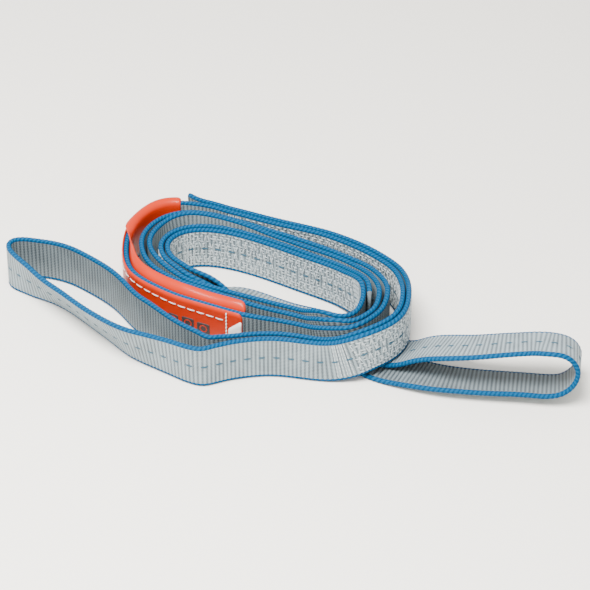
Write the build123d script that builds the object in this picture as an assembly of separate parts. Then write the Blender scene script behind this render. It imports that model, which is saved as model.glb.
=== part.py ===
"""Flat web sling: one band of polyester webbing with a soft eye sewn at each end, lying loosely coiled.

Millimetres, +Z up, X along the sling's longest extent, origin at the bottom centre of its box.
The webbing stands on edge in the coil and in the first eye, and lies flat in the second eye.
The band is one route of hand-set stations. Each node is a stretch of it, lofted as a ruled strip.
"""

import os
from math import cos, pi, radians, sin

import numpy as np
from build123d import *

# Webbing
WEB_WIDTH = 30.0
WEB_THICK = 3.2
SEAM_SPACING = 4.0  # between the middles of two sewn plies
MAX_SEGMENT = 5.0  # length of one ruled facet along the web
PAIR_STEP = 6.0  # between the stations of two plies that run side by side
HEADING_STEP = 0.5  # either side of a place, to take the web's heading there

# Place of the box's bottom centre in the axes that the stations are written in
MIDDLE_X = -4.4
MIDDLE_Y = -8.3

# Sewing thread
THREAD_WIDTH = 0.9
THREAD_THICK = 0.5
THREAD_CLEARANCE = 0.25
ROW_OFFSETS = (-11.8, -8.6, 8.6, 11.8)
ZIGZAG_REACH = 5.5
ZIGZAG_PITCH = 11.0
TACK_BARS = 6
TACK_PITCH = 1.7
TACK_LENGTH = 25.0

# Label
LABEL_THICK = 0.9
LABEL_WIDTH = 28.0
LABEL_CLEARANCE = 0.15
INSERT_THICK = 0.5
INSERT_LENGTH = 9.0

# Gap left between the webbing of two bodies
HINGE_GAP = 1.5


def station(x, y, lift=0.0, lean=0.0, toward=0.0):
    """Middle of the web and its width direction, as six numbers.

    Lean is the angle from upright in degrees, toward the compass angle that the top edge leans to.
    Lift is the height of the lowest edge above the floor.
    """
    tip, way = radians(lean), radians(toward)
    rest = WEB_WIDTH / 2 * cos(tip) + WEB_THICK / 2 * sin(tip)
    return [x - MIDDLE_X, y - MIDDLE_Y, rest + lift, sin(tip) * cos(way), sin(tip) * sin(way), cos(tip)]


def stations(rows):
    return np.array([station(*row) for row in rows])


def unit(vectors):
    return vectors / np.linalg.norm(vectors, axis=-1, keepdims=True)


class Route:
    """A natural cubic spline through stations, read by the length along it."""

    def __init__(self, points):
        self.points = points
        chords = np.linalg.norm(np.diff(points[:, :3], axis=0), axis=1)
        self.knots = np.concatenate([[0.0], np.cumsum(chords)])
        count = len(points)
        matrix = np.eye(count)
        right = np.zeros_like(points)
        for i in range(1, count - 1):
            before, after = chords[i - 1], chords[i]
            matrix[i, i - 1 : i + 2] = before, 2 * (before + after), after
            right[i] = 6 * ((points[i + 1] - points[i]) / after - (points[i] - points[i - 1]) / before)
        self.bends = np.linalg.solve(matrix, right)

    def at(self, lengths):
        lengths = np.atleast_1d(lengths)
        i = np.clip(np.searchsorted(self.knots, lengths) - 1, 0, len(self.knots) - 2)
        span = (self.knots[i + 1] - self.knots[i])[:, None]
        b = (lengths - self.knots[i])[:, None] / span
        a = 1 - b
        curved = (a**3 - a) * self.bends[i] + (b**3 - b) * self.bends[i + 1]
        return a * self.points[i] + b * self.points[i + 1] + curved * span**2 / 6

    def frames(self, lengths):
        """Middle of the web and its directions across and out of the marked face, at each length."""
        lengths = np.atleast_1d(lengths)
        values = self.at(lengths)
        along = unit((self.at(lengths + HEADING_STEP) - self.at(lengths - HEADING_STEP))[:, :3])
        across = values[:, 3:6]
        across = unit(across - (across * along).sum(axis=1, keepdims=True) * along)
        return values[:, :3], across, np.cross(across, along)


# ---------------------------------------------------------------- the route of the webbing

# Two plies from the first throat, round the right end, to the far side: spacing, x, y, lift
FIRST_PAIR = (
    (9.8, -52, -72.5),
    (6.4, -40, -69.9),
    (5.6, -28, -67.7),
    (5.0, -15, -66.9),
    (4.8, -3, -68.3),
    (4.3, 8, -70.8),
    (SEAM_SPACING, 20, -72.9, 0.3),
    (SEAM_SPACING, 33, -73.4, 3),
    (SEAM_SPACING, 44, -71.6, 6.6),
    (SEAM_SPACING, 54.5, -66.5, 8.4),
    (SEAM_SPACING, 62.2, -59.4, 9.2),
    (SEAM_SPACING, 66.9, -49, 9.2),
    (SEAM_SPACING, 68.6, -37.6, 8.4),
    (SEAM_SPACING, 69, -23, 5),
    (SEAM_SPACING, 67.9, -10.5, 2.2),
    (SEAM_SPACING, 63.8, 3, 0.5),
    (SEAM_SPACING, 56, 13.8),
    (SEAM_SPACING, 45.5, 24),
    (SEAM_SPACING, 33, 33.2),
    (SEAM_SPACING, 21, 40.4),
    (SEAM_SPACING, 8.5, 45.8),
    (SEAM_SPACING, -4.5, 50.6),
    (SEAM_SPACING, -17.5, 55.7),
    (SEAM_SPACING, -30.5, 61.5),
    (SEAM_SPACING, -43, 67),
)

# The first tail leaves the seam and curls outward to its cut end
FIRST_TAIL_END = (
    (-53.5, 74.4),
    (-62, 78.2),
    (-69.4, 84),
)

# The standing eye: near branch, tip, far branch
FIRST_EYE = (
    (-57.5, -79.2, 0, 2, -120),
    (-64, -77.7, 0, 3, -120),
    (-76, -71.3, 0, 6, -120),
    (-91, -62.9, 0, 12, -120),
    (-104.5, -54.5, 0, 18, -125),
    (-117.4, -42.2, 0, 24, -135),
    (-130.7, -27.6, 0, 27, -135),
    (-144, -12.7, 0, 27, -135),
    (-152.5, -4.6, 0, 26, -135),
    (-160.5, 2, 0, 21, -130),
    (-168.6, 8.8, 0, 12, -130),
    (-176.4, 16, 0, 5, -130),
    (-181.8, 22.2),
    (-183.6, 28.2),
    (-181.6, 33),
    (-176.4, 34.8),
    (-167, 33.6),
    (-157.2, 31.2),
    (-144.8, 25.6),
    (-132.2, 15.8),
    (-118.4, 2.8),
    (-111.4, -6),
    (-105.2, -16),
    (-98.4, -25.8),
    (-91.2, -33.2),
    (-78.4, -46.8),
    (-66.2, -58),
    (-59, -63.6),
)

# Past the first tail, round the left end under the label and along the front
LABEL_TURN = (
    (-53, 69.9),
    (-62, 73),
    (-72, 75),
    (-81, 74.8),
    (-88.6, 72.2),
    (-95.6, 66.8),
    (-101.2, 59.2),
    (-105.2, 49.4),
    (-107.4, 38),
    (-107.9, 26),
    (-106.6, 12),
    (-103.4, 1.6),
    (-97.8, -6.6),
    (-86.4, -16.8),
    (-73.8, -25.6),
    (-58.6, -33.4),
    (-46, -39.4),
    (-33, -45),
    (-21.5, -48.4),
    (-9.3, -51.5),
    (3, -55.4),
    (14, -59.8, 0.7),
    (21.4, -62.9, 2.7),
    (27.5, -64.9, 4.4),
    (34, -65.8, 6.2),
    (40.6, -63.6, 7.5),
)

SECOND_TURN = (
    (46.6, -58.4, 7.6),
    (52.6, -51, 7.6),
    (56.4, -41, 7.6),
    (57.8, -29.4, 6.4),
    (56.6, -17.4, 4),
    (53, -6.4, 1.8),
    (47.6, 3, 0.5),
    (41.2, 9.4),
    (35, 13.8),
    (22.4, 22.2),
    (9.6, 30),
    (-3.2, 37.4),
    (-16, 44.2),
    (-29, 51),
    (-42.2, 57.6),
    (-55.4, 63),
    (-69, 64.8),
    (-78.6, 62.6),
    (-86.4, 57.8),
    (-92.4, 51),
    (-96.6, 42.6),
    (-98.4, 33.6),
    (-97.9, 25),
    (-95.6, 16),
    (-91.2, 7),
    (-83.8, -1.8),
    (-74.6, -9.6),
    (-63.6, -15.8),
    (-50.4, -22.4),
    (-34.3, -31),
    (-21.8, -37.2),
    (-9.3, -42),
    (3, -47, 0.2),
    (12, -51.9, 1.2),
    (21, -58.2, 5.5),
    (27.8, -60.6, 7.3),
    (33.6, -61.2, 7.4),
)

THIRD_TURN = (
    (38.8, -59.4, 7.6),
    (44, -55, 7.6),
    (48.8, -48.8, 7.6),
    (51.6, -40.2, 7.4),
    (52.6, -30.6, 7),
    (51.4, -19.4, 4.8),
    (47.9, -8.4, 2.4),
    (41.7, 1.7, 0.6),
    (35, 8.2, 0.2),
    (22.3, 17.6),
    (9.6, 24.8),
    (-3.2, 32.2),
    (-16, 39.4, 0.4),
    (-29, 46.8, 1.6),
    (-42.2, 53, 2.4),
    (-55.4, 58.2, 2.4),
    (-69, 60, 2.4),
    (-78, 57.6, 1.6),
    (-84.6, 52.8, 0.5),
    (-89.4, 46.4),
    (-92.4, 38.6),
    (-93.2, 31),
    (-91.6, 23),
    (-87.4, 14),
    (-81, 4.6),
    (-74.4, -3),
    (-65.4, -10.4),
    (-54.4, -15.6),
    (-40.7, -21.9),
    (-28.1, -27.3),
    (-15.6, -32.6),
    (-3.2, -37.4),
    (7.5, -42.6, 0.6),
    (14.6, -48.2, 3.6),
    (20.6, -53.3, 7),
    (26.4, -56.2, 7.6),
    (32, -56, 7.6),
    (36.6, -52.8, 7.6),
    (39.8, -46.8, 7.6),
    (41.6, -40, 7.7),
)

# Two plies of the inner turn, which tips over and leaves flat under the front: spacing, x, y, lift, lean, toward
SECOND_PAIR = (
    (SEAM_SPACING, 44.4, -33.2, 7.8),
    (SEAM_SPACING, 44, -24.6, 7.4),
    (SEAM_SPACING, 41.2, -14.6, 4.8),
    (SEAM_SPACING, 35.9, -5, 1.8),
    (SEAM_SPACING, 28.5, 3.2, 0.5),
    (SEAM_SPACING, 16, 11.8, 0.1),
    (SEAM_SPACING, 3.2, 19.6),
    (SEAM_SPACING, -9.6, 27.4),
    (SEAM_SPACING, -22.5, 34.6),
    (SEAM_SPACING, -35.5, 40.8),
    (SEAM_SPACING, -48.4, 45.2),
    (SEAM_SPACING, -60.5, 46.8),
    (SEAM_SPACING, -70, 45.2),
    (SEAM_SPACING, -77.2, 41),
    (SEAM_SPACING, -81.6, 35.4),
    (SEAM_SPACING, -83.6, 28.6),
    (SEAM_SPACING, -83, 21.6),
    (SEAM_SPACING, -79.6, 13.6),
    (4.4, -72.9, 6.3, 0.3, 3, -130),
    (5.2, -63.9, 0.4, 0.7, 14, -125),
    (6.0, -53, -1.4, 1.4, 34, -115),
    (6.0, -40, -2.8, 2, 57, -112),
    (5.2, -27, -7.4, 2.2, 76, -113),
    (4.2, -14.8, -13.4, 2.1, 87, -115),
    (3.6, -2.8, -18.6, 1.9, 90, -116),
    (3.6, 10, -23.2, 1.9, 90, -118),
    (3.6, 19.5, -28, 1.9, 90, -118),
    (3.6, 27.5, -34, 1.9, 90, -118),
)

# Upper and lower ply between the coil and the second throat
UPPER_EXIT = (
    (38, -42.4, 3.7, 90, -118),
    (49, -49, 3.7, 90, -117),
    (59, -53.2, 3.9, 90, -115),
    (67.6, -56.9, 4.3, 85.5, -113),
)
LOWER_EXIT = (
    (36, -44.6, 0, 90, -118),
    (44, -53.4, 0, 90, -118),
    (54, -61.4, 0, 90, -116),
    (66, -67.6, 0, 88, -113),
)

# The flat eye, from the hinge along the upper branch, round the tip and back to the hinge
SECOND_EYE = (
    (78, -61.5, 10.4, 84, -112),
    (90, -67, 16.1, 82, -107),
    (102, -72.2, 20.3, 81, -104),
    (114, -75.3, 23.1, 80, -101),
    (126, -77, 25.2, 79, -99),
    (138, -78, 26.6, 78, -98),
    (150, -79, 27.8, 78, -97),
    (156.5, -80.3, 28.2, 78, -97),
    (164, -81.5, 27.1, 77, -97),
    (170, -82.8, 23.4, 77, -97),
    (172.9, -84.2, 17.6, 77, -97),
    (172.1, -85.4, 11.1, 77, -97),
    (168, -86.4, 5.1, 77, -97),
    (161.8, -86.8, 1.3, 77, -97),
    (154.6, -86.3, 0.2, 78, -97),
    (144, -85, 0, 78, -98),
    (126, -82.9, 0, 79, -99),
    (113, -81.3, 0, 80, -101),
    (101, -79.4, 0, 81, -104),
    (88, -76.4, 0, 83, -107),
    (74.2, -71.2, 0, 86, -111),
)


def split_pair(rows):
    """The two plies of a sewn or parallel pair: the one on the marked side, and the other."""
    half = np.array([[row[0] / 2] for row in rows])
    middle = Route(np.hstack([stations([row[1:] for row in rows]), half]))
    lengths = np.linspace(0.0, middle.knots[-1], round(middle.knots[-1] / PAIR_STEP) + 1)
    _, _, out = middle.frames(lengths)
    dense = middle.at(lengths)
    path, shift = dense[:, :6], out * dense[:, 6:]
    return path + np.pad(shift, ((0, 0), (0, 3))), path - np.pad(shift, ((0, 0), (0, 3)))


body_ply_1, tail_ply_1 = split_pair(FIRST_PAIR)
body_ply_2, tail_ply_2 = split_pair(SECOND_PAIR)

# The band in order, from the first tail's cut end to the second tail's
stretches = [
    ("first_tail", np.vstack([tail_ply_1, stations(FIRST_TAIL_END)])[::-1]),
    ("first_eye", stations(FIRST_EYE)),
    ("outer_turn", body_ply_1),
    ("label_turn", stations(LABEL_TURN)),
    ("second_turn", stations(SECOND_TURN)),
    ("third_turn", stations(THIRD_TURN)),
    ("inner_turn", np.vstack([body_ply_2, stations(UPPER_EXIT)])),
    ("second_eye", stations(SECOND_EYE)),
    ("second_tail", np.vstack([tail_ply_2, stations(LOWER_EXIT)])[::-1]),
]
band = Route(np.vstack([points for _, points in stretches]))

# Length along the band at each stretch's first and last station
first, last = {}, {}
index = 0
for name, points in stretches:
    first[name] = band.knots[index]
    last[name] = band.knots[index + len(points) - 1]
    index += len(points)


# ---------------------------------------------------------------- solids


def strip(start, end, width, thick, across=0.0, above=0.0, lean_in=None, segment=MAX_SEGMENT):
    """A solid strip along the band from start to end, shifted across and above its middle.

    across may be a function of the length. lean_in moves each edge out of the face: a function of the
    length that returns the shift of the lower edge and of the upper edge.
    """
    steps = max(2, int(np.ceil((end - start) / segment)) + 1)
    lengths = np.linspace(start, end, steps)
    path, wide, out = band.frames(lengths)
    sections = []
    for i, length in enumerate(lengths):
        middle = across(length) if callable(across) else across
        low, high = lean_in(length) if lean_in else (0.0, 0.0)
        corners = []
        for side, face in ((-1, -1), (1, -1), (1, 1), (-1, 1)):
            tilt = low if side < 0 else high
            reach = middle + side * width / 2
            rise = above + tilt + face * thick / 2
            corners.append(Vector(*(path[i] + wide[i] * reach + out[i] * rise)))
        sections.append(Wire.make_polygon(corners, close=True))
    return Solid.make_loft(sections, ruled=True)


def webbing(start, end):
    return strip(start, end, WEB_WIDTH, WEB_THICK)


def write(name, *solids):
    shape = solids[0] if len(solids) == 1 else Compound(children=list(solids))
    shape.label = name
    export_step(shape, f"parts/{name}.step")


def build_webbing():
    gap = HINGE_GAP / 2
    hinge_1_tail = last["first_tail"]
    hinge_1_body = first["outer_turn"]
    hinge_2_upper = first["second_eye"]
    hinge_2_lower = last["second_eye"]
    write("first_tail_ply", webbing(0.0, hinge_1_tail - gap))
    write("first_eye_loop", webbing(hinge_1_tail + gap, hinge_1_body - gap))
    write("outer_turn_ply", webbing(hinge_1_body + gap, last["outer_turn"]))
    write("label_turn_webbing", webbing(last["outer_turn"], last["label_turn"]))
    write("second_turn_webbing", webbing(last["label_turn"], last["second_turn"]))
    write("third_turn_webbing", webbing(last["second_turn"], first["inner_turn"]))
    write("inner_turn_ply", webbing(first["inner_turn"], hinge_2_upper - gap))
    write("second_eye_loop", webbing(hinge_2_upper + gap, hinge_2_lower - gap))
    write("second_tail_ply", webbing(hinge_2_lower + gap, last["second_tail"]))


def thread_rows(start, end, side):
    """Straight rows of thread along a seam, on one face of one ply."""
    above = side * (WEB_THICK / 2 + THREAD_CLEARANCE + THREAD_THICK / 2)
    return [strip(start, end, THREAD_WIDTH, THREAD_THICK, row, above) for row in ROW_OFFSETS]


def zigzag(start, end, side):
    """One zigzag line of thread along the middle of a seam."""
    above = side * (WEB_THICK / 2 + THREAD_CLEARANCE + THREAD_THICK / 2)

    def across(length):
        turn = (length - start) / ZIGZAG_PITCH
        return ZIGZAG_REACH * (4 * abs(turn - np.floor(turn + 0.5)) - 1)

    return strip(start, end, THREAD_WIDTH, THREAD_THICK, across, above, segment=ZIGZAG_PITCH / 4)


def tack(start, side):
    """Close bars of thread across the web."""
    above = side * (WEB_THICK / 2 + THREAD_CLEARANCE + THREAD_THICK / 2)
    bars = []
    for i in range(TACK_BARS):
        at = start + i * TACK_PITCH
        bars.append(strip(at, at + THREAD_WIDTH, TACK_LENGTH, THREAD_THICK, 0.0, above))
    return bars


def build_seam(number, tail_span, body_span):
    """Thread on the outer faces of the two plies of one load seam.

    Both spans run from the eye's end of the seam to the cut end of the tail. The marked face of
    each ply is the outer one, so thread lies on the marked side of both.
    """
    rows, zigzags, eye_tacks, end_tacks = [], [], [], []
    tack_run = TACK_BARS * TACK_PITCH
    for near_eye, far_end in (tail_span, body_span):
        low, high = sorted((near_eye, far_end))
        inner_low, inner_high = low + tack_run, high - tack_run
        rows += thread_rows(inner_low, inner_high, 1)
        zigzags.append(zigzag(inner_low, inner_high, 1))
        at_low, at_high = tack(low, 1), tack(high - tack_run + TACK_PITCH - THREAD_WIDTH, 1)
        eye_tacks += at_low if near_eye < far_end else at_high
        end_tacks += at_high if near_eye < far_end else at_low
    write(f"seam_{number}_straight_rows", *rows)
    write(f"seam_{number}_zigzag", *zigzags)
    write(f"seam_{number}_eye_tack", *eye_tacks)
    write(f"seam_{number}_end_tack", *end_tacks)


def nearest(name, x, y):
    """Length along the band of a stretch's point nearest to a place on the floor."""
    lengths = np.arange(first[name], last[name], 0.5)
    places = band.at(lengths)[:, :2] + np.array([MIDDLE_X, MIDDLE_Y])
    return float(lengths[np.argmin(np.hypot(places[:, 0] - x, places[:, 1] - y))])


# Ends of the seams and the label, as places on the floor
SEAM_1_EYE_END = (24, -73)
SEAM_1_TAIL_END = (-46, 68)
SEAM_2_EYE_END = (-52, -1)
SEAM_2_TAIL_END = (43.9, -23)
LABEL_FAR_END = (-75, 75)
LABEL_OUTER_FAR_END = (-84, 73.5)
LABEL_FRONT_END = (-35, -44)


def build_seams():
    build_seam(
        1,
        (nearest("first_tail", *SEAM_1_EYE_END), nearest("first_tail", *SEAM_1_TAIL_END)),
        (nearest("outer_turn", *SEAM_1_EYE_END), nearest("outer_turn", *SEAM_1_TAIL_END)),
    )
    build_seam(
        2,
        (nearest("second_tail", *SEAM_2_EYE_END), nearest("second_tail", *SEAM_2_TAIL_END)),
        (nearest("inner_turn", *SEAM_2_EYE_END), nearest("inner_turn", *SEAM_2_TAIL_END)),
    )


def build_label():
    """Two panels, one on each face of the web, with a row of thread and a small insert."""
    start = nearest("label_turn", *LABEL_FAR_END)
    outer_start = nearest("label_turn", *LABEL_OUTER_FAR_END)
    end = nearest("label_turn", *LABEL_FRONT_END)
    offset = WEB_THICK / 2 + LABEL_CLEARANCE + LABEL_THICK / 2

    def inner_lean(length):
        """The inner panel stands off the web, most along the front, where its top reaches inward."""
        along = (length - start) / (end - start)
        swell = sin(pi * min(1.0, max(0.0, along))) ** 0.7
        return 0.6 * swell, (1.5 + 6.0 * along) * swell

    inner = strip(start, end, LABEL_WIDTH, LABEL_THICK, 0.0, offset, inner_lean)
    outer = strip(outer_start, end - 4, LABEL_WIDTH, LABEL_THICK, 0.0, -offset)
    write("label_inner_panel", inner)
    write("label_outer_panel", outer)
    face = -(WEB_THICK / 2 + LABEL_CLEARANCE + LABEL_THICK + THREAD_CLEARANCE)
    thread = strip(
        outer_start + 6, end - 18, THREAD_WIDTH, THREAD_THICK, LABEL_WIDTH / 2 - 7.5, face - THREAD_THICK / 2
    )
    write("label_thread", thread)
    insert = strip(end - 14, end - 14 + INSERT_LENGTH, 16.0, INSERT_THICK, -4.0, face - INSERT_THICK / 2)
    write("label_insert", insert)


def main():
    os.makedirs("parts", exist_ok=True)
    build_webbing()
    build_seams()
    build_label()
    total = band.knots[-1]
    print(f"webbing {total:.0f} mm long from cut end to cut end")
    for name, _ in stretches:
        print(f"  {name} {first[name]:.0f} to {last[name]:.0f}")


main()
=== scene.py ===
"""Looks of the flat web sling: woven web with blue selvedges, sewn seams, and an orange label round one turn.

The web is one route of stations, the same as in the CAD source, read by its length. Every piece is built along
it, in metres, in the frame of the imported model. The web's marked face carries a broken tracer line.
"""

from math import cos, pi, radians, sin

import bpy
import numpy as np
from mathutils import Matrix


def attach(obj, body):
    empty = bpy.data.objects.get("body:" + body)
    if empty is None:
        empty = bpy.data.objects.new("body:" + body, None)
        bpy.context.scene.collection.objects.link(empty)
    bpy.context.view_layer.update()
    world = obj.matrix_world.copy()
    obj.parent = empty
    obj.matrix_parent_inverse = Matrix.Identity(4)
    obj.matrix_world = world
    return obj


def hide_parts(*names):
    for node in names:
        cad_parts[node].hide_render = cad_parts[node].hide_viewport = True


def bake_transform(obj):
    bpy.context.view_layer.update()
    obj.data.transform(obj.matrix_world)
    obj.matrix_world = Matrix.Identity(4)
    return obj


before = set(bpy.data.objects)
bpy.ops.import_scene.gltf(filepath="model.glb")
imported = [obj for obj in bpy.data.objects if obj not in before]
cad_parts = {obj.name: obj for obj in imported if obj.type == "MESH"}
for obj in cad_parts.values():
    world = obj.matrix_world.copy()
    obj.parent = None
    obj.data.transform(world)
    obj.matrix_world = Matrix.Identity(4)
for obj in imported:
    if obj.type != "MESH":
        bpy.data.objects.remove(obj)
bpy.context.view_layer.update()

MM = 0.001

# Web and route, in millimetres: make_piece() turns points into metres
WEB_WIDTH = 30.0
WEB_THICK = 3.2
SEAM_SPACING = 4.0
PAIR_STEP = 6.0
HEADING_STEP = 0.5
MIDDLE_X = -4.4
MIDDLE_Y = -8.3

# ---------------------------------------------------------------- the route of the web

# Two plies from the first throat, round the right end, to the far side: spacing, x, y, lift
FIRST_PAIR = (
    (9.8, -52, -72.5),
    (6.4, -40, -69.9),
    (5.6, -28, -67.7),
    (5.0, -15, -66.9),
    (4.8, -3, -68.3),
    (4.3, 8, -70.8),
    (SEAM_SPACING, 20, -72.9, 0.3),
    (SEAM_SPACING, 33, -73.4, 3),
    (SEAM_SPACING, 44, -71.6, 6.6),
    (SEAM_SPACING, 54.5, -66.5, 8.4),
    (SEAM_SPACING, 62.2, -59.4, 9.2),
    (SEAM_SPACING, 66.9, -49, 9.2),
    (SEAM_SPACING, 68.6, -37.6, 8.4),
    (SEAM_SPACING, 69, -23, 5),
    (SEAM_SPACING, 67.9, -10.5, 2.2),
    (SEAM_SPACING, 63.8, 3, 0.5),
    (SEAM_SPACING, 56, 13.8),
    (SEAM_SPACING, 45.5, 24),
    (SEAM_SPACING, 33, 33.2),
    (SEAM_SPACING, 21, 40.4),
    (SEAM_SPACING, 8.5, 45.8),
    (SEAM_SPACING, -4.5, 50.6),
    (SEAM_SPACING, -17.5, 55.7),
    (SEAM_SPACING, -30.5, 61.5),
    (SEAM_SPACING, -43, 67),
)

# The first tail leaves the seam and curls outward to its cut end
FIRST_TAIL_END = (
    (-53.5, 74.4),
    (-62, 78.2),
    (-69.4, 84),
)

# The standing eye: near branch, tip, far branch
FIRST_EYE = (
    (-57.5, -79.2, 0, 2, -120),
    (-64, -77.7, 0, 3, -120),
    (-76, -71.3, 0, 6, -120),
    (-91, -62.9, 0, 12, -120),
    (-104.5, -54.5, 0, 18, -125),
    (-117.4, -42.2, 0, 24, -135),
    (-130.7, -27.6, 0, 27, -135),
    (-144, -12.7, 0, 27, -135),
    (-152.5, -4.6, 0, 26, -135),
    (-160.5, 2, 0, 21, -130),
    (-168.6, 8.8, 0, 12, -130),
    (-176.4, 16, 0, 5, -130),
    (-181.8, 22.2),
    (-183.6, 28.2),
    (-181.6, 33),
    (-176.4, 34.8),
    (-167, 33.6),
    (-157.2, 31.2),
    (-144.8, 25.6),
    (-132.2, 15.8),
    (-118.4, 2.8),
    (-111.4, -6),
    (-105.2, -16),
    (-98.4, -25.8),
    (-91.2, -33.2),
    (-78.4, -46.8),
    (-66.2, -58),
    (-59, -63.6),
)

# Past the first tail, round the left end under the label and along the front
LABEL_TURN = (
    (-53, 69.9),
    (-62, 73),
    (-72, 75),
    (-81, 74.8),
    (-88.6, 72.2),
    (-95.6, 66.8),
    (-101.2, 59.2),
    (-105.2, 49.4),
    (-107.4, 38),
    (-107.9, 26),
    (-106.6, 12),
    (-103.4, 1.6),
    (-97.8, -6.6),
    (-86.4, -16.8),
    (-73.8, -25.6),
    (-58.6, -33.4),
    (-46, -39.4),
    (-33, -45),
    (-21.5, -48.4),
    (-9.3, -51.5),
    (3, -55.4),
    (14, -59.8, 0.7),
    (21.4, -62.9, 2.7),
    (27.5, -64.9, 4.4),
    (34, -65.8, 6.2),
    (40.6, -63.6, 7.5),
)

SECOND_TURN = (
    (46.6, -58.4, 7.6),
    (52.6, -51, 7.6),
    (56.4, -41, 7.6),
    (57.8, -29.4, 6.4),
    (56.6, -17.4, 4),
    (53, -6.4, 1.8),
    (47.6, 3, 0.5),
    (41.2, 9.4),
    (35, 13.8),
    (22.4, 22.2),
    (9.6, 30),
    (-3.2, 37.4),
    (-16, 44.2),
    (-29, 51),
    (-42.2, 57.6),
    (-55.4, 63),
    (-69, 64.8),
    (-78.6, 62.6),
    (-86.4, 57.8),
    (-92.4, 51),
    (-96.6, 42.6),
    (-98.4, 33.6),
    (-97.9, 25),
    (-95.6, 16),
    (-91.2, 7),
    (-83.8, -1.8),
    (-74.6, -9.6),
    (-63.6, -15.8),
    (-50.4, -22.4),
    (-34.3, -31),
    (-21.8, -37.2),
    (-9.3, -42),
    (3, -47, 0.2),
    (12, -51.9, 1.2),
    (21, -58.2, 5.5),
    (27.8, -60.6, 7.3),
    (33.6, -61.2, 7.4),
)

THIRD_TURN = (
    (38.8, -59.4, 7.6),
    (44, -55, 7.6),
    (48.8, -48.8, 7.6),
    (51.6, -40.2, 7.4),
    (52.6, -30.6, 7),
    (51.4, -19.4, 4.8),
    (47.9, -8.4, 2.4),
    (41.7, 1.7, 0.6),
    (35, 8.2, 0.2),
    (22.3, 17.6),
    (9.6, 24.8),
    (-3.2, 32.2),
    (-16, 39.4, 0.4),
    (-29, 46.8, 1.6),
    (-42.2, 53, 2.4),
    (-55.4, 58.2, 2.4),
    (-69, 60, 2.4),
    (-78, 57.6, 1.6),
    (-84.6, 52.8, 0.5),
    (-89.4, 46.4),
    (-92.4, 38.6),
    (-93.2, 31),
    (-91.6, 23),
    (-87.4, 14),
    (-81, 4.6),
    (-74.4, -3),
    (-65.4, -10.4),
    (-54.4, -15.6),
    (-40.7, -21.9),
    (-28.1, -27.3),
    (-15.6, -32.6),
    (-3.2, -37.4),
    (7.5, -42.6, 0.6),
    (14.6, -48.2, 3.6),
    (20.6, -53.3, 7),
    (26.4, -56.2, 7.6),
    (32, -56, 7.6),
    (36.6, -52.8, 7.6),
    (39.8, -46.8, 7.6),
    (41.6, -40, 7.7),
)

# Two plies of the inner turn, which tips over and leaves flat under the front: spacing, x, y, lift, lean, toward
SECOND_PAIR = (
    (SEAM_SPACING, 44.4, -33.2, 7.8),
    (SEAM_SPACING, 44, -24.6, 7.4),
    (SEAM_SPACING, 41.2, -14.6, 4.8),
    (SEAM_SPACING, 35.9, -5, 1.8),
    (SEAM_SPACING, 28.5, 3.2, 0.5),
    (SEAM_SPACING, 16, 11.8, 0.1),
    (SEAM_SPACING, 3.2, 19.6),
    (SEAM_SPACING, -9.6, 27.4),
    (SEAM_SPACING, -22.5, 34.6),
    (SEAM_SPACING, -35.5, 40.8),
    (SEAM_SPACING, -48.4, 45.2),
    (SEAM_SPACING, -60.5, 46.8),
    (SEAM_SPACING, -70, 45.2),
    (SEAM_SPACING, -77.2, 41),
    (SEAM_SPACING, -81.6, 35.4),
    (SEAM_SPACING, -83.6, 28.6),
    (SEAM_SPACING, -83, 21.6),
    (SEAM_SPACING, -79.6, 13.6),
    (4.4, -72.9, 6.3, 0.3, 3, -130),
    (5.2, -63.9, 0.4, 0.7, 14, -125),
    (6.0, -53, -1.4, 1.4, 34, -115),
    (6.0, -40, -2.8, 2, 57, -112),
    (5.2, -27, -7.4, 2.2, 76, -113),
    (4.2, -14.8, -13.4, 2.1, 87, -115),
    (3.6, -2.8, -18.6, 1.9, 90, -116),
    (3.6, 10, -23.2, 1.9, 90, -118),
    (3.6, 19.5, -28, 1.9, 90, -118),
    (3.6, 27.5, -34, 1.9, 90, -118),
)

# Upper and lower ply between the coil and the second throat
UPPER_EXIT = (
    (38, -42.4, 3.7, 90, -118),
    (49, -49, 3.7, 90, -117),
    (59, -53.2, 3.9, 90, -115),
    (67.6, -56.9, 4.3, 85.5, -113),
)
LOWER_EXIT = (
    (36, -44.6, 0, 90, -118),
    (44, -53.4, 0, 90, -118),
    (54, -61.4, 0, 90, -116),
    (66, -67.6, 0, 88, -113),
)

# The flat eye, from the hinge along the upper branch, round the tip and back to the hinge
SECOND_EYE = (
    (78, -61.5, 10.4, 84, -112),
    (90, -67, 16.1, 82, -107),
    (102, -72.2, 20.3, 81, -104),
    (114, -75.3, 23.1, 80, -101),
    (126, -77, 25.2, 79, -99),
    (138, -78, 26.6, 78, -98),
    (150, -79, 27.8, 78, -97),
    (156.5, -80.3, 28.2, 78, -97),
    (164, -81.5, 27.1, 77, -97),
    (170, -82.8, 23.4, 77, -97),
    (172.9, -84.2, 17.6, 77, -97),
    (172.1, -85.4, 11.1, 77, -97),
    (168, -86.4, 5.1, 77, -97),
    (161.8, -86.8, 1.3, 77, -97),
    (154.6, -86.3, 0.2, 78, -97),
    (144, -85, 0, 78, -98),
    (126, -82.9, 0, 79, -99),
    (113, -81.3, 0, 80, -101),
    (101, -79.4, 0, 81, -104),
    (88, -76.4, 0, 83, -107),
    (74.2, -71.2, 0, 86, -111),
)




def station(x, y, lift=0.0, lean=0.0, toward=0.0):
    """Middle of the web and its width direction, from a place, a lift and a lean in degrees."""
    tip, way = radians(lean), radians(toward)
    rest = WEB_WIDTH / 2 * cos(tip) + WEB_THICK / 2 * sin(tip)
    return [x - MIDDLE_X, y - MIDDLE_Y, rest + lift, sin(tip) * cos(way), sin(tip) * sin(way), cos(tip)]


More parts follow.
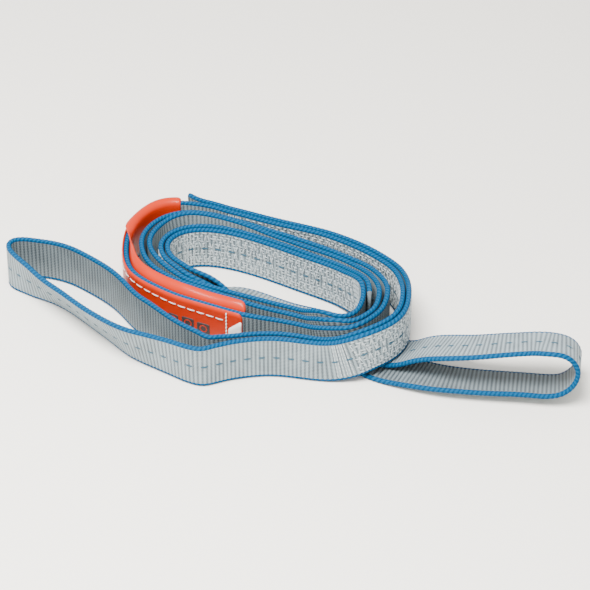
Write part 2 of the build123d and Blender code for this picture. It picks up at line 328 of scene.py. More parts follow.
def stations(rows):
    return np.array([station(*row) for row in rows])


def unit(vectors):
    return vectors / np.linalg.norm(vectors, axis=-1, keepdims=True)


class Route:
    """A natural cubic spline through stations, read by the length along it."""

    def __init__(self, points):
        self.points = points
        chords = np.linalg.norm(np.diff(points[:, :3], axis=0), axis=1)
        self.knots = np.concatenate([[0.0], np.cumsum(chords)])
        count = len(points)
        matrix = np.eye(count)
        right = np.zeros_like(points)
        for i in range(1, count - 1):
            before, after = chords[i - 1], chords[i]
            matrix[i, i - 1 : i + 2] = before, 2 * (before + after), after
            right[i] = 6 * ((points[i + 1] - points[i]) / after - (points[i] - points[i - 1]) / before)
        self.bends = np.linalg.solve(matrix, right)

    def at(self, lengths):
        lengths = np.atleast_1d(lengths)
        i = np.clip(np.searchsorted(self.knots, lengths) - 1, 0, len(self.knots) - 2)
        span = (self.knots[i + 1] - self.knots[i])[:, None]
        b = (lengths - self.knots[i])[:, None] / span
        a = 1 - b
        curved = (a**3 - a) * self.bends[i] + (b**3 - b) * self.bends[i + 1]
        return a * self.points[i] + b * self.points[i + 1] + curved * span**2 / 6

    def frames(self, lengths):
        """Middle of the web and its directions across and out of the marked face, at each length."""
        lengths = np.atleast_1d(lengths)
        values = self.at(lengths)
        along = unit((self.at(lengths + HEADING_STEP) - self.at(lengths - HEADING_STEP))[:, :3])
        across = values[:, 3:6]
        across = unit(across - (across * along).sum(axis=1, keepdims=True) * along)
        return values[:, :3], across, np.cross(across, along)


def split_pair(rows):
    """The two plies of a sewn or parallel pair: the one on the marked side, and the other."""
    half = np.array([[row[0] / 2] for row in rows])
    middle = Route(np.hstack([stations([row[1:] for row in rows]), half]))
    lengths = np.linspace(0.0, middle.knots[-1], round(middle.knots[-1] / PAIR_STEP) + 1)
    _, _, out = middle.frames(lengths)
    dense = middle.at(lengths)
    path, shift = dense[:, :6], out * dense[:, 6:]
    return path + np.pad(shift, ((0, 0), (0, 3))), path - np.pad(shift, ((0, 0), (0, 3)))


body_ply_1, tail_ply_1 = split_pair(FIRST_PAIR)
body_ply_2, tail_ply_2 = split_pair(SECOND_PAIR)

# The band in order, from the first tail's cut end to the second tail's
STRETCHES = [
    ("first_tail", np.vstack([tail_ply_1, stations(FIRST_TAIL_END)])[::-1]),
    ("first_eye", stations(FIRST_EYE)),
    ("outer_turn", body_ply_1),
    ("label_turn", stations(LABEL_TURN)),
    ("second_turn", stations(SECOND_TURN)),
    ("third_turn", stations(THIRD_TURN)),
    ("inner_turn", np.vstack([body_ply_2, stations(UPPER_EXIT)])),
    ("second_eye", stations(SECOND_EYE)),
    ("second_tail", np.vstack([tail_ply_2, stations(LOWER_EXIT)])[::-1]),
]
band = Route(np.vstack([points for _, points in STRETCHES]))

# Length along the band at each stretch's first and last station
first, last = {}, {}
index = 0
for name, points in STRETCHES:
    first[name] = band.knots[index]
    last[name] = band.knots[index + len(points) - 1]
    index += len(points)


def nearest(stretch, x, y):
    """Length along the band of a stretch's point nearest to a place on the floor, in millimetres."""
    lengths = np.arange(first[stretch], last[stretch], 0.5)
    places = band.at(lengths)[:, :2] + np.array([MIDDLE_X, MIDDLE_Y])
    return float(lengths[np.argmin(np.hypot(places[:, 0] - x, places[:, 1] - y))])


# Unevenness of the web: amount, length and phase of each wave, in millimetres
BULGES = ((0.10, 23.0, 0.0), (0.08, 9.1, 1.0))
RISE, RISE_LENGTH, RISE_PHASE = 0.17, 31.0, 0.6


def web_frames(lengths):
    """band.frames with the small unevenness of real web, which every piece shares."""
    path, wide, out = band.frames(lengths)
    s = np.atleast_1d(lengths)
    bulge = sum(amount * np.sin(s / length + phase) for amount, length, phase in BULGES)
    rise = RISE * (1 + np.sin(s / RISE_LENGTH + RISE_PHASE))
    return path + out * bulge[:, None] + wide * rise[:, None], wide, out


# ---------------------------------------------------------------- materials


class Nodes:
    """Short calls for building one material."""

    def __init__(self, name, roughness, **constants):
        self.material = bpy.data.materials.new(name)
        self.material.use_nodes = True
        self.tree = self.material.node_tree
        self.shader = self.tree.nodes["Principled BSDF"]
        self.shader.inputs["Roughness"].default_value = roughness
        for key, value in constants.items():
            self.shader.inputs[key.replace("_", " ")].default_value = value

    def add(self, kind, **settings):
        node = self.tree.nodes.new(kind)
        for key, value in settings.items():
            setattr(node, key, value)
        return node

    def link(self, source, target):
        self.tree.links.new(source, target)

    def fill(self, socket, value):
        if isinstance(value, bpy.types.NodeSocket):
            self.link(value, socket)
        else:
            socket.default_value = value

    def math(self, operation, a, b=0.0, clamp=False):
        node = self.add("ShaderNodeMath", operation=operation, use_clamp=clamp)
        self.fill(node.inputs[0], a)
        self.fill(node.inputs[1], b)
        return node.outputs[0]

    def uv(self):
        """Length along the web and distance round it, in centimetres."""
        split = self.add("ShaderNodeSeparateXYZ")
        self.link(self.add("ShaderNodeTexCoord").outputs["UV"], split.inputs[0])
        return split.outputs[0], split.outputs[1]

    def wave(self, value, period, phase=0.0):
        """A sine of the given period, from 0 to 1."""
        turn = self.math("ADD", self.math("MULTIPLY", value, 2 * pi / period), phase)
        return self.math("ADD", self.math("MULTIPLY", self.math("SINE", turn), 0.5), 0.5)

    def noise(self, scale, detail=2.0, stretch=None):
        texture = self.add("ShaderNodeTexNoise")
        texture.inputs["Scale"].default_value = scale
        texture.inputs["Detail"].default_value = detail
        coordinates = self.add("ShaderNodeTexCoord")
        if stretch:
            mapping = self.add("ShaderNodeMapping")
            mapping.inputs["Scale"].default_value = stretch
            self.link(coordinates.outputs["UV"], mapping.inputs[0])
            self.link(mapping.outputs[0], texture.inputs["Vector"])
        else:
            self.link(coordinates.outputs["Object"], texture.inputs["Vector"])
        return texture.outputs[0]

    def mix(self, factor, a, b):
        node = self.add("ShaderNodeMix", data_type="RGBA")
        self.fill(node.inputs[0], factor)
        for socket, value in ((node.inputs[6], a), (node.inputs[7], b)):
            self.fill(socket, (*value, 1.0) if isinstance(value, tuple) else value)
        return node.outputs[2]

    def colour(self, value):
        socket = self.shader.inputs["Base Color"]
        self.fill(socket, (*value, 1.0) if isinstance(value, tuple) else value)
        return self

    def bump(self, height, distance, strength=1.0):
        node = self.add("ShaderNodeBump")
        node.inputs["Strength"].default_value = strength
        node.inputs["Distance"].default_value = distance
        self.link(height, node.inputs["Height"])
        self.link(node.outputs[0], self.shader.inputs["Normal"])
        return self


WEB_LIGHT = (0.33, 0.405, 0.44)
WEB_MID = (0.075, 0.102, 0.120)
WEB_DARK = (0.020, 0.030, 0.039)
BLUE = (0.0, 0.062, 0.170)
BLUE_LIGHT = (0.0, 0.125, 0.28)
BLUE_DARK = (0.0, 0.016, 0.065)
TRACER = (0.0, 0.065, 0.115)
THREAD_LIGHT = (0.50, 0.57, 0.60)
ORANGE = (0.50, 0.024, 0.001)
ORANGE_DARK = (0.36, 0.014, 0.001)
LABEL_THREAD_PALE = (0.86, 0.80, 0.78)
WHITE = (0.80, 0.80, 0.78)
NEAR_BLACK = (0.03, 0.02, 0.02)
FLOOR = (0.93, 0.905, 0.845)
THREAD_SHADE = 0.72
MM_PER_UV = 10
RIB_PITCH = 2.6
BEAD_PITCH = 2.7


def web_material(name, rib_shade_depth, yarn, painted_shade_tone):
    """Grey polyester: cross ribs, and fine warp yarns that go over and under them, with painted shade in their
    grooves.

    The second argument is how much painted shade darkens the grooves between the ribs, yarn is the distance between
    two yarns, and the last argument darkens the whole as painted shade.
    """
    n = Nodes(name, 0.55, Specular_IOR_Level=0.3)
    along, around = n.uv()
    pitch = RIB_PITCH / MM_PER_UV
    # Painted light on the rib crests and painted shade in the grooves, in step with the ribs of the mesh
    rib = n.wave(along, pitch, pi / 2)
    warp = n.wave(around, yarn)
    half = n.math("MULTIPLY", n.math("FLOOR", n.math("DIVIDE", around, yarn)), pi)
    turn = n.math("ADD", n.math("MULTIPLY", along, 4 * pi / pitch), half)
    over = n.math("ADD", n.math("MULTIPLY", n.math("SINE", turn), 0.5), 0.5)
    weave = n.math("MULTIPLY", warp, n.math("ADD", n.math("MULTIPLY", over, 0.6), 0.4))
    fibre = n.noise(5.0, 3.0, stretch=(14.0, 3.0, 1.0))
    cloudy = n.noise(1.0, 1.0, stretch=(0.7, 0.7, 1.0))
    # The rib and yarn waves are painted shade in the grooves and painted light on the crests; the fibre and cloudy
    # noise is the web's own uneven tone
    light = n.math("ADD", n.math("MULTIPLY", rib, rib_shade_depth), n.math("MULTIPLY", weave, 0.55))
    light = n.math("ADD", light, n.math("MULTIPLY", n.math("SUBTRACT", fibre, 0.5), 0.9))
    light = n.math("ADD", light, n.math("MULTIPLY", n.math("SUBTRACT", cloudy, 0.5), 0.3), clamp=True)
    # Every colour is scaled by the last argument: below 1 it is painted shade
    dark, mid, pale = (tuple(painted_shade_tone * value for value in shade) for shade in (WEB_DARK, WEB_MID, WEB_LIGHT))
    n.colour(n.mix(light, n.mix(cloudy, dark, mid), pale))
    height = n.math("ADD", n.math("MULTIPLY", weave, 0.7), n.math("MULTIPLY", fibre, 0.5))
    return n.bump(height, 0.00025, 0.8).material


def selvedge_material():
    n = Nodes("selvedge_blue", 0.7, Specular_IOR_Level=0.12)
    along, around = n.uv()
    slant = n.math("ADD", along, n.math("MULTIPLY", around, 0.5))
    rope = n.wave(slant, BEAD_PITCH / MM_PER_UV)
    fleck = n.noise(4.0, 2.0, stretch=(7.0, 7.0, 1.0))
    shade = n.math("ADD", n.math("MULTIPLY", rope, 0.55), n.math("MULTIPLY", fleck, 0.55), clamp=True)
    n.colour(n.mix(shade, BLUE_DARK, n.mix(fleck, BLUE, BLUE_LIGHT)))
    return n.bump(shade, 0.0004, 0.8).material


def thread_material(name, colour, roughness=0.4):
    n = Nodes(name, roughness, Sheen_Weight=0.2)
    speck = n.noise(1400.0, 2.0)
    dark = tuple(THREAD_SHADE * value for value in colour)
    return n.colour(n.mix(speck, dark, colour)).bump(speck, 0.0002, 0.6).material


def label_material():
    n = Nodes("label_orange", 0.42, Coat_Weight=0.16, Coat_Roughness=0.12, Specular_IOR_Level=0.15)
    wrinkle = n.noise(55.0, 2.0)
    grain = n.noise(900.0, 2.0)
    n.colour(n.mix(n.math("MULTIPLY", wrinkle, 0.35), ORANGE, ORANGE_DARK))
    height = n.math("ADD", n.math("MULTIPLY", wrinkle, 1.0), n.math("MULTIPLY", grain, 0.03))
    return n.bump(height, 0.0012, 0.5).material


def plain_material(name, colour, roughness):
    return Nodes(name, roughness).colour(colour).material


# ---------------------------------------------------------------- pieces


def make_piece(name, points, faces, materials, kinds=None, uvs=None):
    """An object from points in millimetres and faces, with a material index for each face."""
    mesh = bpy.data.meshes.new(name)
    mesh.from_pydata((points * MM).tolist(), [], faces)
    for material in materials:
        mesh.materials.append(material)
    if kinds is not None:
        mesh.polygons.foreach_set("material_index", np.asarray(kinds, dtype=np.int32))
    if uvs is not None:
        layer = mesh.uv_layers.new(name="web")
        layer.data.foreach_set("uv", np.asarray(uvs, dtype=np.float32).ravel())
    mesh.polygons.foreach_set("use_smooth", np.ones(len(mesh.polygons), dtype=bool))
    mesh.update()
    obj = bpy.data.objects.new(name, mesh)
    bpy.context.collection.objects.link(obj)
    return obj


# The web's section: two flat faces between rounded, rope-like beads
RING_STEP = 0.52
FACE_HALF = 13.0
FACE_OUT = 1.42
MARKED_RIB = 0.14
PLAIN_RIB = 0.20
BEAD_MIDDLE = 13.35
BEAD_ACROSS = 1.8
BEAD_OUT = 1.72
BEAD_SPAN = 67.5
BEAD_TWIST = 0.05
UPPER_PHASE = 10
LOWER_PHASE = 14
FACE_POINTS = 15
BEAD_POINTS = 7
MARKED_KIND, PLAIN_KIND, EDGE_KIND = range(3)


def web_profile():
    """The web's section: across, out, rib weight on the marked and plain faces, and the beads' twist phase."""
    face = np.linspace(-FACE_HALF, FACE_HALF, FACE_POINTS)
    angles = np.radians(np.linspace(BEAD_SPAN, -BEAD_SPAN, BEAD_POINTS))
    bead_across = BEAD_MIDDLE + BEAD_ACROSS * np.cos(angles)
    bead_out = BEAD_OUT * np.sin(angles)
    flat, none, no_bead = np.ones(FACE_POINTS), np.zeros(FACE_POINTS), np.zeros(BEAD_POINTS)
    across = np.concatenate([face, bead_across, face[::-1], -bead_across[::-1]])
    out = np.concatenate([FACE_OUT * flat, bead_out, -FACE_OUT * flat, bead_out[::-1]])
    marked = np.concatenate([flat, no_bead, none, no_bead])
    plain = np.concatenate([none, no_bead, flat, no_bead])
    bead = np.concatenate([none, angles + UPPER_PHASE, none, angles[::-1] + LOWER_PHASE])
    return across, out, marked, plain, bead


def web_strip(name, start, end):
    """Webbing from start to end: two ribbed faces between blue rope-like edges."""
    across, out, marked, plain, bead = web_profile()
    count = len(across)
    rings = max(3, int(round((end - start) / RING_STEP)) + 1)
    lengths = np.linspace(start, end, rings)
    rib = np.cos(2 * pi * lengths / RIB_PITCH)[:, None]
    above = out + rib * (MARKED_RIB * marked - PLAIN_RIB * plain)
    twist = 1 + BEAD_TWIST * np.cos(2 * pi * lengths[:, None] / BEAD_PITCH + 2 * bead) * (bead > 0)
    side = np.sign(across)
    reach = np.where(bead > 0, side * (BEAD_MIDDLE + (np.abs(across) - BEAD_MIDDLE) * twist), across)
    above = np.where(bead > 0, above * twist, above)
    path, wide, normal = web_frames(lengths)
    points = path[:, None] + wide[:, None] * reach[..., None] + normal[:, None] * above[..., None]
    ring, column = np.meshgrid(np.arange(rings - 1), np.arange(count), indexing="ij")
    ring, column = ring.ravel(), column.ravel()
    following = (column + 1) % count
    low, high = ring * count, (ring + 1) * count
    quads = np.stack([low + column, low + following, high + following, high + column], axis=1)
    steps = np.hypot(np.diff(np.append(across, across[0])), np.diff(np.append(out, out[0])))
    u, v = lengths / MM_PER_UV, np.concatenate([[0.0], np.cumsum(steps)]) / MM_PER_UV
    corners = ((ring, column), (ring, column + 1), (ring + 1, column + 1), (ring + 1, column))
    uvs = np.stack([np.stack([u[i], v[j]], axis=1) for i, j in corners], axis=1)
    edge = FACE_POINTS - 1
    kind = np.full(count, EDGE_KIND)
    kind[:edge] = MARKED_KIND
    kind[FACE_POINTS + BEAD_POINTS :][:edge] = PLAIN_KIND
    caps = [list(range(count))[::-1], [(rings - 1) * count + i for i in range(count)]]
    start_uv = np.stack([np.full(count, u[0]), v[:count][::-1]], axis=1)
    end_uv = np.stack([np.full(count, u[-1]), v[:count]], axis=1)
    all_uvs = np.concatenate([uvs.reshape(-1, 2), start_uv, end_uv])
    kinds = np.concatenate([kind[column], [PLAIN_KIND, PLAIN_KIND]])
    materials = [WEB_MARKED, WEB_PLAIN_SHADED, SELVEDGE]
    return make_piece(name, points.reshape(-1, 3), quads.tolist() + caps, materials, kinds, all_uvs)


STITCH_RINGS = 6
STITCH_CORNERS = 6
STITCH_TIP = 0.45


def stitches(name, spans, material, width=0.9, height=0.55, sink=0.35, base=FACE_OUT):
    """Short lengths of thread on a face, each (start, across, end, across), dipping in at both ends.

    base is the height of the face above the web's middle: negative for the plain side.
    """
    spans = np.asarray(spans, dtype=float)
    t = np.linspace(0, 1, STITCH_RINGS)
    swell = np.sin(pi * np.clip(t, 0.04, 0.96)) ** 0.45
    lengths = spans[:, 0:1] + (spans[:, 2:3] - spans[:, 0:1]) * t
    across = spans[:, 1:2] + (spans[:, 3:4] - spans[:, 1:2]) * t
    side = 1.0 if base > 0 else -1.0
    above = np.broadcast_to(base + side * ((height / 2 + sink) * swell - sink), lengths.shape)
    path, wide, out = web_frames(lengths.ravel())
    along = np.cross(out, wide)
    centre = path + wide * across.ravel()[:, None] + out * above.ravel()[:, None]
    run = spans[:, 2] - spans[:, 0]
    reach = spans[:, 3] - spans[:, 1]
    size = np.hypot(run, reach)
    run, reach = np.repeat(run / size, STITCH_RINGS)[:, None], np.repeat(reach / size, STITCH_RINGS)[:, None]
    flank = wide * run - along * reach
    angles = 2 * pi * np.arange(STITCH_CORNERS) / STITCH_CORNERS
    thin = np.tile(STITCH_TIP + (1 - STITCH_TIP) * swell, len(spans))[:, None, None]
    sideways = flank[:, None] * (width / 2 * np.cos(angles))[None, :, None]
    outward = out[:, None] * (height / 2 * np.sin(angles))[None, :, None]
    points = centre[:, None] + thin * (sideways + outward)
    rings = np.arange(len(spans))[:, None] * STITCH_RINGS + np.arange(STITCH_RINGS - 1)[None, :]
    ring, corner = np.meshgrid(rings.ravel(), np.arange(STITCH_CORNERS), indexing="ij")
    ring, corner = ring.ravel(), corner.ravel()
    c = STITCH_CORNERS
    after = (corner + 1) % c
    quads = np.stack([ring * c + corner, ring * c + after, (ring + 1) * c + after, (ring + 1) * c + corner], axis=1)
    caps = []
    for i in range(len(spans)):
        low = i * STITCH_RINGS * c
        high = low + (STITCH_RINGS - 1) * c
        caps.append([low + k for k in range(c)][::-1])
        caps.append([high + k for k in range(c)])
    return make_piece(name, points.reshape(-1, 3), quads.tolist() + caps, [material])


HOOD_COLUMNS = 10
HOOD_WAVE = 0.08
HOOD_WAVE_LENGTH = 6.5


def panel(name, start, end, low, high, base, thick, corner, material, columns=10, hood=None):
    """A thin panel along the web with rounded ends. low and high are its edges across, or pairs along its length.

    hood adds a strip above the high edge that bends over: a fraction of the length, the angle of the bend in
    degrees, out of the face or, where it is negative, over the web's edge, and the strip's width.
    """
    side = 1.0 if base > 0 else -1.0
    lengths = np.linspace(start, end, int(round(end - start)) + 1)
    fraction = (lengths - start) / (end - start)
    insets = []
    for radius, distance in zip(corner, (lengths - start, end - lengths)):
        insets.append(radius - np.sqrt(radius**2 - np.clip(radius - distance, 0, radius) ** 2))
    inset = np.maximum(*insets)
    edge_low, edge_high = (np.interp(fraction, [0, 1], np.broadcast_to(edge, 2)) for edge in (low, high))
    ratio = np.linspace(0, 1, columns)
    across = (edge_low + inset)[:, None] + (edge_high - edge_low - inset * (1 if hood else 2))[:, None] * ratio
    above = np.full_like(across, base)
    tilt = np.zeros_like(across)
    if hood:
        at, turn, size = (np.array(values) for values in zip(*hood))
        bend = np.linspace(0, 1, HOOD_COLUMNS + 1)[None, 1:]
        wavy = 1 + HOOD_WAVE * np.sin(lengths / HOOD_WAVE_LENGTH)
        angle = np.radians(np.interp(fraction, at, turn) * wavy)[:, None] * bend
        segment = (np.interp(fraction, at, size) - inset)[:, None] / HOOD_COLUMNS
        across = np.hstack([across, across[:, -1:] + np.cumsum(segment * np.cos(angle), axis=1)])
        above = np.hstack([above, base + side * np.cumsum(segment * np.sin(angle), axis=1)])
        tilt = np.hstack([tilt, angle])
    path, wide, out = web_frames(lengths)
    layers = []
    for shift in (0.0, thick):
        place_across = across - shift * np.sin(tilt)
        place_above = above + side * shift * np.cos(tilt)
        rise = wide[:, None] * place_across[..., None]
        layers.append(path[:, None] + rise + out[:, None] * place_above[..., None])
    rings, columns = across.shape
    total = rings * columns
    faces = []
    for i in range(rings - 1):
        for j in range(columns - 1):
            a, b = i * columns + j, i * columns + j + 1
            c, d = b + columns, a + columns
            faces += [[d, c, b, a], [a + total, b + total, c + total, d + total]]
        a, b = i * columns, (i + 1) * columns
        c, d = a + columns - 1, b + columns - 1
        faces += [[a, a + total, b + total, b], [d, d + total, c + total, c]]
    for j in range(columns - 1):
        a, b = j, j + 1
        c, d = a + total - columns, b + total - columns
        faces += [[b, b + total, a + total, a], [c, c + total, d + total, d]]
    if side < 0:
        faces = [face[::-1] for face in faces]
    return make_piece(name, np.concatenate([layer.reshape(-1, 3) for layer in layers]), faces, [material])


# ---------------------------------------------------------------- the sling

WEB_MARKED = web_material("web_marked", 0.62, 0.11, 1.0)
# The plain face is the same grey web as the marked face, darkened to 0.62 as painted shade
WEB_PLAIN_SHADED = web_material("web_plain_painted_shade", 0.62, 0.13, 0.62)
SELVEDGE = selvedge_material()
THREAD = thread_material("seam_thread", THREAD_LIGHT)
TRACER_THREAD = thread_material("tracer_thread", TRACER, 0.5)
LABEL_THREAD = thread_material("label_thread_pale", LABEL_THREAD_PALE)
LABEL = label_material()
INSERT = plain_material("insert_white", WHITE, 0.5)
MARK = plain_material("mark_dark", NEAR_BLACK, 0.5)

HINGE_REACH = 6.0
hinge_1_tail, hinge_1_body = last["first_tail"], first["outer_turn"]
hinge_2_upper, hinge_2_lower = first["second_eye"], last["second_eye"]


def groove(length):
    """The nearest length where the web has a groove between two ribs."""
    return (round(length / RIB_PITCH - 0.5) + 0.5) * RIB_PITCH


def blend_first(obj):
    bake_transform(obj)


def blend_second(obj):
    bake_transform(obj)


def ride_coil(obj):
    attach(obj, "coil")


WEB_PIECES = (
    ("web_first_tail", "first_tail_ply", 0.0, hinge_1_tail - HINGE_REACH, ride_coil),
    ("web_first_eye", "first_eye_loop", hinge_1_tail - HINGE_REACH, hinge_1_body + HINGE_REACH, blend_first),
    ("web_outer_turn", "outer_turn_ply", hinge_1_body + HINGE_REACH, last["outer_turn"], ride_coil),
    ("web_label_turn", "label_turn_webbing", last["outer_turn"], last["label_turn"], ride_coil),
    ("web_second_turn", "second_turn_webbing", last["label_turn"], last["second_turn"], ride_coil),
    ("web_third_turn", "third_turn_webbing", last["second_turn"], first["inner_turn"], ride_coil),
    ("web_inner_turn", "inner_turn_ply", first["inner_turn"], hinge_2_upper - HINGE_REACH, ride_coil),
    ("web_second_eye", "second_eye_loop", hinge_2_upper - HINGE_REACH, hinge_2_lower + HINGE_REACH, blend_second),
    ("web_second_tail", "second_tail_ply", hinge_2_lower + HINGE_REACH, last["second_tail"], ride_coil),
)


def build_web():
    for name, node, start, end, follow in WEB_PIECES:
        start = groove(start) if start > 0 else 0.0
        end = groove(end) if end < last["second_tail"] else last["second_tail"]
        piece = web_strip(name, start, end)
        follow(piece)
        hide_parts(node)


# One dash of the tracer line lies at this length along the band
DASH_START = 399.39
DASH_PERIOD = 9.14
DASH_LENGTH = 4.2
DASH_MARGIN = 4


def build_tracer():
    """The broken line along the middle of the marked face."""
    end = last["second_tail"]
    reach = int(end / DASH_PERIOD) + 1
    middles = DASH_START + DASH_PERIOD * np.arange(-reach, reach)
    middles = middles[(middles > DASH_MARGIN) & (middles < end - DASH_MARGIN)]
    groups = {"tracer_coil": [], "tracer_first_eye": [], "tracer_second_eye": []}
    for middle in middles:
        span = (middle - DASH_LENGTH / 2, 0.0, middle + DASH_LENGTH / 2, 0.0)
        if hinge_1_tail - HINGE_REACH < middle < hinge_1_body + HINGE_REACH:
            groups["tracer_first_eye"].append(span)
        elif hinge_2_upper - HINGE_REACH < middle < hinge_2_lower + HINGE_REACH:
            groups["tracer_second_eye"].append(span)
        else:
            groups["tracer_coil"].append(span)
    follows = {"tracer_coil": ride_coil, "tracer_first_eye": blend_first, "tracer_second_eye": blend_second}
    for name, spans in groups.items():
        piece = stitches(name, spans, TRACER_THREAD, width=1.5, height=0.44, sink=0.12)
        follows[name](piece)


# Thread of the load seams, in millimetres along and across the web
ROWS = (-12.1, -10.1, -8.1, -6.0, -3.9, -1.7, 1.7, 3.9, 6.0, 8.1, 10.1, 12.1)
ROW_PITCH = 4.4
ROW_STITCH = 2.2
ZIGZAG_PITCH = 11.0
LEG_STITCHES = 4
ZIGZAG_REACH = 10.8
TACK_BARS = 6
TACK_PITCH = 1.7
TACK_HALF = 12.5
TACK_STITCHES = 8


def row_spans(start, end, across):
    count = int((end - start) / ROW_PITCH)
    order = np.arange(count)
    starts = start + (across * 7.3 % 1.0) * ROW_PITCH + ROW_PITCH * order
    drift = 0.6 * np.sin(order * 2.4 + across) + 0.5 * np.sin(order * 5.3 + 2 * across)
    return [(s + d, across + 0.4 * d, s + ROW_STITCH - 0.5 * d, across - 0.4 * d) for s, d in zip(starts, drift)]


def zigzag_spans(start, end, reach, phase):
    """A zigzag line in short stitches."""
    spans = []
    leg = ZIGZAG_PITCH / 2
    for i in range(int((end - start) / leg)):
        low = start + i * leg
        low += 0.8 * sin(2.1 * i + phase)
        way = 1 if (i + phase) % 2 == 0 else -1
        for part in range(LEG_STITCHES):
            a, b = (part + 0.08) / LEG_STITCHES, (part + 0.92) / LEG_STITCHES
            spans.append((low + a * leg, way * reach * (2 * a - 1), low + b * leg, way * reach * (2 * b - 1)))
    return spans


def tack_spans(start, bars=TACK_BARS, pitch=TACK_PITCH, half=TACK_HALF):
    spans = []
    for i in range(bars):
        s = start + 0.45 + i * pitch
        edges = np.linspace(-half, half, TACK_STITCHES + 1)
        spans += [(s, low + 0.1, s + 0.12, high - 0.1) for low, high in zip(edges[:-1], edges[1:])]
    return spans


def build_seam(number, tail_span, body_span):
    """Straight rows, crossing zigzags and close bars at both ends, on the marked side of both plies.

    Both spans run from the eye's end of the seam to the cut end of the tail.
    """
    rows, zigzags, eye_bars, end_bars = [], [], [], []
    run = TACK_BARS * TACK_PITCH
    for near_eye, far_end in (tail_span, body_span):
        low, high = sorted((near_eye, far_end))
        for across in ROWS:
            rows += row_spans(low + run, high - run, across)
        for phase in (0, 1):
            zigzags += zigzag_spans(low + run, high - run, ZIGZAG_REACH, phase)
        at_low, at_high = tack_spans(low), tack_spans(high - run)
        eye_bars += at_low if near_eye < far_end else at_high
        end_bars += at_high if near_eye < far_end else at_low
    pieces = (("straight_rows", rows), ("zigzag", zigzags), ("eye_tack", eye_bars), ("end_tack", end_bars))
    for kind, spans in pieces:
        piece = stitches(f"thread_{number}_{kind}", spans, THREAD, width=0.8, height=0.5)
        ride_coil(piece)
        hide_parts(f"seam_{number}_{kind}")


# Each seam's two plies, and its eye end and tail end as places on the floor
SEAMS = (
    (1, ("first_tail", "outer_turn"), ((24, -73), (-46, 68))),
    (2, ("second_tail", "inner_turn"), ((-52, -1), (43.9, -23))),
)
CROSS_BARS = (-66, 46)


def build_seams():
    for number, plies, ends in SEAMS:
        build_seam(number, *([nearest(ply, *end) for end in ends] for ply in plies))
    bars = tack_spans(nearest("inner_turn", *CROSS_BARS), bars=4, pitch=2.1)
    piece = stitches("thread_2_cross_bars", bars, THREAD, width=1.0, height=0.62)
    ride_coil(piece)


LABEL_THICK = 0.8
LABEL_BASE = 1.95
LABEL_FAR_END = (-75, 75)
LABEL_OUTER_FAR_END = (-84, 73.5)
LABEL_FRONT_END = (-35, -44)
LABEL_OVERRUN = 3.5
# The inner panel's hood: over the web's edge at the far end, away from it along the front
LABEL_HOOD = (
    (0, -172, 9.5),
    (0.18, -168, 9.0),
    (0.27, -120, 6.5),
    (0.33, -20, 4.0),
    (0.40, 45, 6.0),
    (0.5, 78, 8.0),
    (0.62, 88, 8.8),
    (0.9, 86, 8.8),
    (1, 80, 8.4),
)
# Distances before the label's free end: each mark's two sides, and the height of its top edge
LABEL_MARKS = ((51.0, 44.0, 0.6), (41.5, 33.0, 1.4), (31.0, 22.0, 0.4))
MARK_HEIGHT = 9.0
MARK_RING_DROP = 4.2
MARK_RING_RADIUS = 2.4


def ring_spans(s, across, radius, count=10):
    """Short strokes round a circle on a face."""
    turns = 2 * pi * np.arange(count + 1) / count
    places = [(s + radius * cos(t), across + radius * sin(t)) for t in turns]
    return [(*a, *b) for a, b in zip(places[:-1], places[1:])]


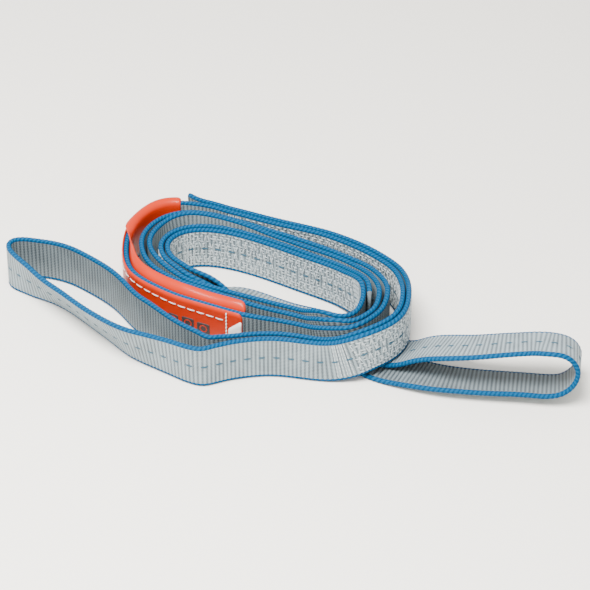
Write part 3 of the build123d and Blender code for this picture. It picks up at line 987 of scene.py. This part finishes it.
def build_label():
    """Two panels, one on each face of the web, with a row of thread, a white insert and dark marks."""
    start = nearest("label_turn", *LABEL_FAR_END)
    outer_start = nearest("label_turn", *LABEL_OUTER_FAR_END)
    end = nearest("label_turn", *LABEL_FRONT_END) + LABEL_OVERRUN
    inner = panel(
        "label_inner", start, end, -9.0, (13.0, 12.6), LABEL_BASE, LABEL_THICK, (2.0, 5.0), LABEL, hood=LABEL_HOOD
    )
    outer = panel("label_outer", outer_start, end, -14.0, 15.2, -LABEL_BASE, LABEL_THICK, (2.0, 3.5), LABEL)
    for piece, node, low, width in (
        (inner, "label_inner_panel", start, 30.5),
        (outer, "label_outer_panel", outer_start, 29.2),
    ):
        ride_coil(piece)
        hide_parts(node)
    face = -(LABEL_BASE + LABEL_THICK)
    dashes = []
    for s in np.arange(outer_start + 6, end - 16, 6.6):
        across = np.interp(s, [end - 90, end - 14], [10.3, 7.4])
        dashes.append((s, across, s + 5.2, across - 0.1))
    for low in np.arange(-12.0, 12.0, 2.6):
        dashes.append((end - 10.5, low, end - 10.3, low + 2.3))
    thread = stitches("label_stitches", dashes, LABEL_THREAD, width=1.05, height=0.5, sink=0.4, base=face - 0.1)
    ride_coil(thread)
    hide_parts("label_thread")
    insert = panel(
        "label_insert_tag", end - 9.0, end - 0.4, -12.5, (2.0, 10.0), face - 0.05, 0.25, (0.5, 1.0), INSERT, columns=6
    )
    ride_coil(insert)
    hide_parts("label_insert")
    rings = []
    for i, (low, high, top) in enumerate(LABEL_MARKS, 1):
        name, bottom = f"label_mark_{i}", top - MARK_HEIGHT
        mark = panel(name, end - low, end - high, bottom, top, face - 0.02, 0.12, (0.6, 0.6), MARK, columns=6)
        ride_coil(mark)
        rings += ring_spans(end - (low + high) / 2, top - MARK_RING_DROP, MARK_RING_RADIUS)
    ring = stitches("label_mark_rings", rings, LABEL, width=0.7, height=0.2, sink=0.0, base=face - 0.1)
    ride_coil(ring)


build_web()
build_tracer()
build_seams()
build_label()

# ---------------------------------------------------------------- floor, light and camera

bpy.ops.mesh.primitive_plane_add(size=6.0, location=(0, 0, -0.0002))
floor = bpy.context.object
floor.name = "floor"
floor.data.materials.append(plain_material("pale_floor", FLOOR, 0.75))


def area_light(name, place, size, power, colour):
    """A round soft light that shines at the middle of the object."""
    data = bpy.data.lights.new(name, "AREA")
    data.shape = "DISK"
    data.size = size
    data.energy = power
    data.color = colour
    lamp = bpy.data.objects.new(name, data)
    lamp.location = place
    way = -np.array(place)
    yaw = np.arctan2(way[0], -way[1])
    tilt = np.arctan2(np.hypot(way[0], way[1]), -way[2])
    lamp.rotation_euler = (tilt, 0, yaw)
    bpy.context.collection.objects.link(lamp)


area_light("key", (-0.4, -0.55, 1.5), 1.1, 118.0, (1.0, 0.985, 0.96))
area_light("fill", (1.0, -1.1, 1.0), 1.3, 30.0, (0.97, 0.985, 1.0))
world = bpy.data.worlds.new("studio")
bpy.context.scene.world = world
world.use_nodes = True
world.node_tree.nodes["Background"].inputs[0].default_value = (1.0, 0.99, 0.975, 1.0)
world.node_tree.nodes["Background"].inputs[1].default_value = 1.3

CAMERA_TILT = radians(37)
CAMERA_REACH = 1.7746
TARGET = (0.0044, 0.0083, 0.010)
camera_data = bpy.data.cameras.new("camera")
camera_data.lens = 170
camera_data.sensor_width = 36
camera = bpy.data.objects.new("camera", camera_data)
camera.location = (
    TARGET[0], TARGET[1] - CAMERA_REACH * cos(CAMERA_TILT), TARGET[2] + CAMERA_REACH * sin(CAMERA_TILT)
)
camera.rotation_euler = (pi / 2 - CAMERA_TILT, 0, 0)
bpy.context.collection.objects.link(camera)
bpy.context.scene.camera = camera
